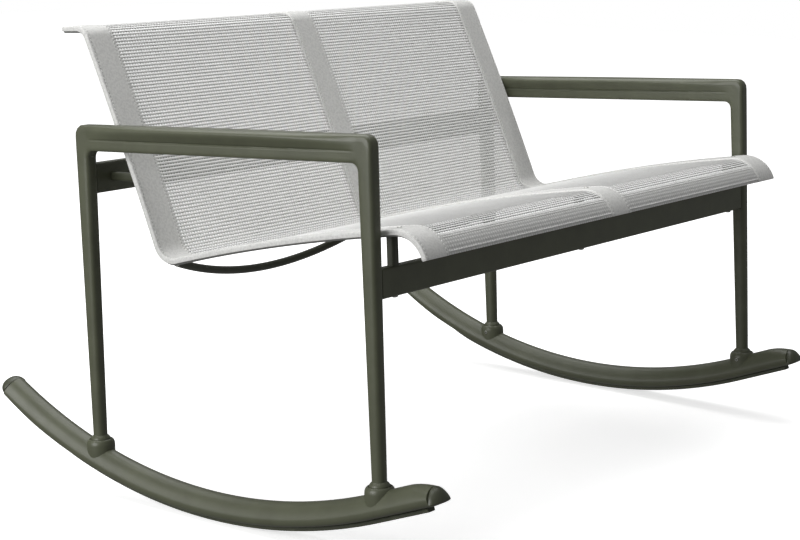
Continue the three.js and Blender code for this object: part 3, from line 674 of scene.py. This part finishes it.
for side, x in SIDES.items():
    skin(f"rocker_{side}", at_x(runner_rings(), x), OLIVE, [f"runner_{side}"])
    for end, at, outward, length, nose in (("front", runner_front, -1, FRONT_CAP_LENGTH, FRONT_NOSE),
                                           ("rear", runner_rear, 1, REAR_CAP_LENGTH, REAR_NOSE)):
        # End caps in the darker olive: painted shade on the runners' ends.
        skin(f"end_cap_{end}_{side}", at_x(cap_rings(at, outward, length, nose), x), OLIVE_PAINTED_SHADE,
             [f"runner_cap_{end}_{side}"])
    skin(f"glide_{side}", at_x(glide_rings(), x), NYLON, [f"glide_strip_{side}"])


# ---- beams, posts, brackets and spreaders ---------------------------------------------------------

def bar_across(name, node, half_y, half_z, radius, material):
    """A bar across the settee: a rounded rectangle in side view, its end faces eased by one small step."""
    low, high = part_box(node)
    middle = upright((low, high))
    half_x = (high[0] - low[0]) / 2
    outline = rounded_box(half_y, half_z, radius, 7)
    ends = np.array([(-half_x, 0.0006), (-half_x + 0.0006, 0), (half_x - 0.0006, 0), (half_x, 0.0006)])
    rings = []
    for x, ease in ends:
        scale = (1 - ease / half_y, 1 - ease / half_z)
        rings.append(np.column_stack([np.full(len(outline), x), outline * scale]))
    return skin(name, np.array(rings) + middle, material, [node])


bar_across("beam_front", "front_beam", 0.009, 0.022, 0.0035, OLIVE)
bar_across("beam_rear", "rear_beam", 0.009, 0.024, 0.0035, OLIVE)


def stand_rings(node, axis, half_x, half_across):
    """A post or bracket: a squarish superellipse carried along its upright or level axis between the faces
    that its CAD box spans."""
    low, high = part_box(node)
    middle = upright((low, high))
    half = (high[axis] - low[axis]) / 2
    outline = superellipse(half_x, half_across, 4.5, 48)
    rings = []
    for at in np.linspace(-half, half, 8):
        ring = np.zeros((len(outline), 3))
        ring[:, 0] = outline[:, 0]
        ring[:, 3 - axis] = outline[:, 1]
        ring[:, axis] = at
        rings.append(ring)
    return np.array(rings) + middle


for rail in RAILS:
    # Posts and brackets in the darker olive: painted shade under the seat.
    skin(f"post_{rail}", stand_rings(f"front_post_{rail}", 2, 0.007, 0.007), OLIVE_PAINTED_SHADE,
         [f"front_post_{rail}"])
    skin(f"bracket_{rail}", stand_rings(f"rear_bracket_{rail}", 1, 0.007, 0.007), OLIVE_PAINTED_SHADE,
         [f"rear_bracket_{rail}"])


def spreader_rings(low_x, high_x):
    """A round bar bowed below the seat's bend by 1 - share^2, square to the line from the bend's centre."""
    at = lambda values: np.array([np.interp(seat_marks[3], seat_reach, v) for v in values])
    centre = at(seat_side.T) + at(seat_normal.T) * BEND_RADIUS
    turn = (SEAT_REAR_SLOPE - BACK_FOOT_SLOPE) / 2
    outward = np.array([-math.sin(turn), -math.cos(turn)])
    share = np.linspace(-1, 1, 56)
    reach = BEND_RADIUS + RAIL_THICKNESS + GAP + SPREADER_RADIUS + SPREADER_BOW * (1 - share ** 2)
    middle = np.column_stack([low_x + (high_x - low_x) * (share + 1) / 2, centre + outward * reach[:, None]])
    tangent = np.gradient(middle, axis=0)
    tangent /= np.linalg.norm(tangent, axis=1, keepdims=True)
    aside = np.array([0, -outward[1], outward[0]])
    up = np.cross(tangent, aside)
    angle = 2 * np.pi * np.arange(24) / 24
    return middle[:, None] + SPREADER_RADIUS * (
        up[:, None] * np.cos(angle)[None, :, None] + aside * np.sin(angle)[None, :, None])


for bay in ("left", "right"):
    low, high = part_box(f"bowed_spreader_{bay}")
    # Spreaders in the darker olive: painted shade under the seat.
    skin(f"spreader_{bay}", spreader_rings(low[0], high[0]), OLIVE_PAINTED_SHADE,
         [f"bowed_spreader_{bay}"])


# ---- rails and straps -----------------------------------------------------------------------------

def along_seat(outline, reaches):
    """Rings of an outline of (x, height) carried along the seat's line."""
    outline = np.asarray(outline)
    return on_seat(outline[..., 0], np.asarray(reaches)[:, None], outline[..., 1])


STRAP_HALF = [(0, 0.3), (12, 0.3), (25.2, 0.3), (25.4, -2.4), (25.6, -4.7), (27.2, -5.1), (28.8, -4.7),
              (29, -2.2), (28.9, 0.5), (28.1, 2.2), (26.6, 3.0), (25.2, 2.9), (24.4, 1.9), (23.2, 1.9),
              (22.4, 2.7), (20, 2.85), (12, 2.9), (0, 2.95)]
strap_section = through(mirrored(STRAP_HALF), 136) / 1000
rail_section = rounded_box(RAIL_WIDTH / 2 - 0.0002, RAIL_THICKNESS / 2, 0.0025, 5) - (0, RAIL_THICKNESS / 2)
strap_around = np.concatenate([[0], np.cumsum(np.linalg.norm(np.diff(strap_section, axis=0), axis=1))])
seat_end = seat_marks[-1]
fine_reach = np.unique(np.concatenate([
    np.linspace(seat_marks[k], seat_marks[k + 1], count + 1)
    for k, count in enumerate((8, 18, 60, 26, 76, 34))]))


def strap_rings(x):
    """The strap carried along the rail, its two ends drawn in by a short quarter ellipse."""
    rings = along_seat(strap_section + (x, 0), fine_reach)
    ease = np.minimum(fine_reach, seat_end - fine_reach)
    lift = 0.0012 * (1 - np.clip(ease / 0.0016, 0, 1)) ** 2
    middle = on_seat(x, fine_reach, 0.0)[:, None]
    return rings + (middle - rings) * (lift / 0.03)[:, None, None]


def stitches(name, x_lines, along_x, reaches, height, pitch, length, material):
    """A row of sewn stitches: each is a small ellipsoid, longer along its row than it is thick."""
    across, around = 5, 6
    polar = np.pi * np.linspace(0.12, 0.88, across)[:, None]
    turn = 2 * np.pi * np.arange(around) / around
    long = (-np.cos(polar) + 0 * turn) * length / 2
    wide = np.sin(polar) * np.cos(turn) * STITCH_RADIUS * 1.3
    tall = np.sin(polar) * np.sin(turn) * STITCH_RADIUS
    quads = grid_quads(across, around, True)
    lids = [list(range(around - 1, -1, -1)), list(range((across - 1) * around, across * around))]
    if along_x:
        xs, ss = np.meshgrid(np.arange(x_lines[0], x_lines[1], pitch) + pitch / 2, reaches, indexing="ij")
    else:
        ss, xs = np.meshgrid(np.arange(reaches[0], reaches[1], pitch) + pitch / 2, x_lines, indexing="ij")
    xs, ss = xs.ravel()[:, None, None], ss.ravel()[:, None, None]
    shape = on_seat(xs + (long if along_x else wide), ss + (wide if along_x else long), height + tall)
    points = place(shape).reshape(-1, 3)
    per = across * around
    one = quads if volume(place(shape[0]).reshape(-1, 3), quads) > 0 else quads[:, ::-1]
    if one is not quads:
        lids = [lid[::-1] for lid in lids]
    starts = np.arange(len(shape)) * per
    faces = (one[None] + starts[:, None, None]).reshape(-1, 4).tolist()
    for lid in lids:
        faces += (np.array(lid)[None] + starts[:, None]).tolist()
    return add_piece(name, points, faces, material, (), 60)


for rail, x in RAILS.items():
    rail_rings = along_seat(rail_section + (x, 0), np.linspace(0.0005, seat_end - 0.0005, 200))
    skin(f"rail_{rail}", rail_rings, RAIL_METAL, [f"seat_rail_{rail}"])
    band = skin(f"strap_cover_{rail}", strap_rings(x), VINYL, [f"strap_{rail}"],
                along=fine_reach, around=strap_around)
    seams = stitches(f"strap_stitching_{rail}", np.array([x - 0.0238, x + 0.0238]), False,
                     (0.006, seat_end - 0.006), 0.0024, STITCH_PITCH, STITCH_LENGTH, THREAD)


# ---- mesh panels ----------------------------------------------------------------------------------

def yarns(low_x, high_x, low_reach, high_reach):
    """Yarns of lens section. Weft yarns cross at even reaches, in front, and warp yarns at even x, behind.
    Each bends by a small height at every crossing, up and down in turn with i + j."""
    columns = int(round((high_x - low_x) / WARP_PITCH))
    rows = int(round((high_reach - low_reach) / WEFT_PITCH))
    xs = low_x + (np.arange(columns) + 0.5) * (high_x - low_x) / columns
    reaches = low_reach + (np.arange(rows) + 0.5) * (high_reach - low_reach) / rows
    wave = YARN_THICKNESS * YARN_BEND * (-1.0) ** (np.arange(rows)[:, None] + np.arange(columns)[None])
    lens_wide = np.array([0.5, 0, -0.5, 0])
    lens_tall = np.array([0, 0.5, 0, -0.5]) * YARN_THICKNESS
    sets = []
    stations = np.concatenate([[low_x], xs, [high_x]])
    height = np.pad(wave, ((0, 0), (1, 1)))
    sets.append(on_seat(stations[None, :, None], reaches[:, None, None] + lens_wide * WEFT_WIDTH,
                        height[..., None] + lens_tall + GAP + YARN_THICKNESS * YARN_OFFSET))
    stations = np.concatenate([[low_reach], reaches, [high_reach]])
    height = -np.pad(wave, ((1, 1), (0, 0))).T
    sets.append(on_seat(xs[:, None, None] + lens_wide * WARP_WIDTH, stations[None, :, None],
                        height[..., None] + lens_tall + GAP - YARN_THICKNESS * YARN_OFFSET))
    points, faces, base = [], [], 0
    for yarn in sets:
        count, length, around = yarn.shape[:3]
        flat = place(yarn).reshape(count, -1, 3)
        quads = grid_quads(length, around, True)
        lids = np.array([[3, 2, 1, 0], np.arange(4) + (length - 1) * around])
        one = np.concatenate([quads, lids])
        if volume(flat[0], one) < 0:
            one = one[:, ::-1]
        starts = base + np.arange(count) * length * around
        faces.append((one[None] + starts[:, None, None]).reshape(-1, 4))
        points.append(flat.reshape(-1, 3))
        base += count * length * around
    return np.concatenate(points), np.concatenate(faces)


def hem_rings(low_x, high_x, start, stop, thick=0.0017):
    """A folded hem: a flat loop in side view, round on both edges, carried straight across the bay."""
    half = thick / 2
    count = max(12, int((stop - start) / 0.0016))
    top = np.column_stack([np.linspace(start + half, stop - half, count), np.full(count, half)])
    fold = arc_points((stop - half, 0), half, 90, -90, 9)[1:-1]
    back = arc_points((start + half, 0), half, -90, -270, 9)[1:-1]
    loop = np.concatenate([top, fold, top[::-1] * (1, -1), back])
    xs = np.linspace(low_x, high_x, 2)
    rings = on_seat(xs[:, None], loop[None, :, 0], loop[None, :, 1] + GAP)
    around = np.concatenate([[0], np.cumsum(np.linalg.norm(np.diff(loop, axis=0), axis=1))])
    return rings, xs - low_x, around


for bay in ("left", "right"):
    low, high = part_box(f"mesh_panel_{bay}")
    low_x, high_x = low[0], high[0]
    tail_edge, nose_edge = TAIL_HEM, seat_end - NOSE_HEM
    points, faces = yarns(low_x, high_x, tail_edge - 0.002, nose_edge + 0.002)
    panel = add_piece(f"woven_panel_{bay}", points, faces.tolist(), YARN,
                      [f"mesh_panel_{bay}"], 180)
    for end, start, stop in (("tail", 0.0006, tail_edge), ("nose", nose_edge, seat_end - 0.0002)):
        rings, along, around = hem_rings(low_x, high_x, start, stop)
        skin(f"hem_{end}_{bay}", rings, HEM, along=along, around=around)
    rows = [nose_edge + 0.0025, nose_edge + 0.0062, seat_end - 0.0055]
    stitches(f"hem_stitching_{bay}", (low_x, high_x), True, np.array(rows), 0.0014,
                           0.004, 0.0027, THREAD)


# ---- fasteners ------------------------------------------------------------------------------------

def fastener(name, node, profile, axis):
    """A turned head on its CAD node's box: the profile is turned on its own axis and set in the box's
    middle, along X, Y or Z of the upright settee."""
    rings = turned(np.array(profile) / 1000, 32)
    order = {"z": (0, 1, 2), "x": (2, 0, 1), "y": (0, 2, 1)}[axis]
    rings = rings[..., order]
    return skin(name, rings + upright(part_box(node)), STEEL, [node], sharp=40)


def pan_head(length):
    """A bolt with a domed head and a round driving recess, its middle at the profile's zero."""
    end = length / 2
    return [(0, end), (2.5, end), (2.5, -end + 2.8), (5, -end + 2.8), (5, -end + 1.7), (4.4, -end + 0.7),
            (3.2, -end + 0.1), (2.3, -end), (2.1, -end + 1.4), (0, -end + 1.4)]


for rail in RAILS:
    for kind, axis in (("post_bolt", "z"), ("bracket_bolt", "y")):
        node = f"{kind}_{rail}"
        low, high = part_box(node)
        span = (high - low)[2 if axis == "z" else 1] * 1000 - 0.5
        profile = pan_head(span)
        if axis == "y":
            profile = [(r, -z) for r, z in profile]
        fastener(f"{kind}_head_{rail}", node, profile, axis)
    low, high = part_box(f"strap_rivet_{rail}")
    tall = (high - low)[2] * 1000 / 2
    head = [(0, -tall), (1.6, -tall), (1.6, tall - 2.1), (4, tall - 2.1), (3.9, tall - 1.4),
            (3.2, tall - 0.7), (2.0, tall - 0.2), (1.0, tall - 0.05), (0, tall)]
    fastener(f"rivet_{rail}", f"strap_rivet_{rail}", head, "z")
for side in SIDES:
    for end in LEGS:
        screw = [(0, -3.5), (3, -3.5), (3, 3.1), (2.6, 3.5), (1.7, 3.5), (1.5, 1.6), (0, 1.6)]
        if side == "right":
            screw = [(r, -z) for r, z in screw]
        fastener(f"grub_screw_{end}_{side}", f"set_screw_{end}_{side}", screw, "x")


# ---- floor, light and camera ----------------------------------------------------------------------

floor_mesh = bpy.data.meshes.new("floor")
floor_mesh.from_pydata([(-9, -9, 0), (9, -9, 0), (9, 9, 0), (-9, 9, 0)], [], [(0, 1, 2, 3)])
floor_material, floor_tree, floor_shader, floor_where = new_material(
    "studio_floor", (0.9, 0.9, 0.9), 0.8, Emission_Color=(1, 1, 1, 1))
reach = floor_tree.nodes.new("ShaderNodeVectorMath")
reach.operation = "LENGTH"
floor_tree.links.new(floor_where.outputs["Object"], reach.inputs[0])
glow = floor_tree.nodes.new("ShaderNodeMapRange")
glow.inputs["From Min"].default_value = 0.5
glow.inputs["From Max"].default_value = 2.5
glow.inputs["To Min"].default_value = 0.62
glow.inputs["To Max"].default_value = 1.0
floor_tree.links.new(reach.outputs["Value"], glow.inputs["Value"])
floor_tree.links.new(glow.outputs["Result"], floor_shader.inputs["Emission Strength"])
floor_mesh.materials.append(floor_material)
floor = bpy.data.objects.new("floor", floor_mesh)
floor.visible_diffuse = False
floor.visible_glossy = False
scene.collection.objects.link(floor)

world = bpy.data.worlds.new("studio")
scene.world = world
world.use_nodes = True
sky = world.node_tree
background = sky.nodes["Background"]
background.inputs["Color"].default_value = (1, 1, 1, 1)
fill = sky.nodes.new("ShaderNodeBackground")
fill.inputs["Color"].default_value = (1, 1, 1, 1)
fill.inputs["Strength"].default_value = 0.2
seen = sky.nodes.new("ShaderNodeLightPath")
choose = sky.nodes.new("ShaderNodeMixShader")
sky.links.new(seen.outputs["Is Camera Ray"], choose.inputs["Fac"])
sky.links.new(fill.outputs["Background"], choose.inputs[1])
sky.links.new(background.outputs["Background"], choose.inputs[2])
sky.links.new(choose.outputs["Shader"], sky.nodes["World Output"].inputs["Surface"])


def soft_box(name, place_at, target, size, watts):
    """A square area light at a point, turned to face another."""
    light = bpy.data.lights.new(name, "AREA")
    light.shape = "SQUARE"
    light.size = size
    light.energy = watts
    lamp = bpy.data.objects.new(name, light)
    lamp.location = place_at
    away = np.array(place_at) - np.array(target)
    lamp.rotation_mode = "QUATERNION"
    lamp.rotation_quaternion = Vector(away).to_track_quat("Z", "Y")
    scene.collection.objects.link(lamp)


soft_box("overhead", (0.2, 0.7, 3.0), (0, 0, 0.3), 3.2, 85)
soft_box("left", (-3.6, 0.9, 1.5), (0, 0, 0.4), 2.4, 95)

scene.view_settings.view_transform = "Standard"
scene.view_settings.look = "None"

CAMERA_FROM_FRONT_LEGS = (-2.8013, -1.7214, 0.9547)
CAMERA_AZIMUTH = math.radians(-53.0126)
CAMERA_ELEVATION = math.radians(8.5687)
CAMERA_ROLL = math.radians(0.5791)
CAMERA_FOCAL = 2.56386       # focal length over the width of the picture
CAMERA_SHIFT = -0.1

back = np.array([math.sin(CAMERA_AZIMUTH) * math.cos(CAMERA_ELEVATION),
                 -math.cos(CAMERA_AZIMUTH) * math.cos(CAMERA_ELEVATION), math.sin(CAMERA_ELEVATION)])
right = np.cross(-back, (0, 0, 1))
right /= np.linalg.norm(right)
up = np.cross(back, right)
c, s = math.cos(CAMERA_ROLL), math.sin(CAMERA_ROLL)
right, up = right * c + up * s, up * c - right * s
front_feet = place(np.array([0, -LEG_SPAN / 2, -0.003]))
camera_data = bpy.data.cameras.new("camera")
camera_data.sensor_width = 36
camera_data.lens = CAMERA_FOCAL * camera_data.sensor_width
camera_data.shift_y = CAMERA_SHIFT
camera = bpy.data.objects.new("camera", camera_data)
camera_place = Matrix.Translation(front_feet + CAMERA_FROM_FRONT_LEGS)
camera.matrix_world = camera_place @ Matrix(np.column_stack([right, up, back])).to_4x4()
scene.collection.objects.link(camera)
scene.camera = camera
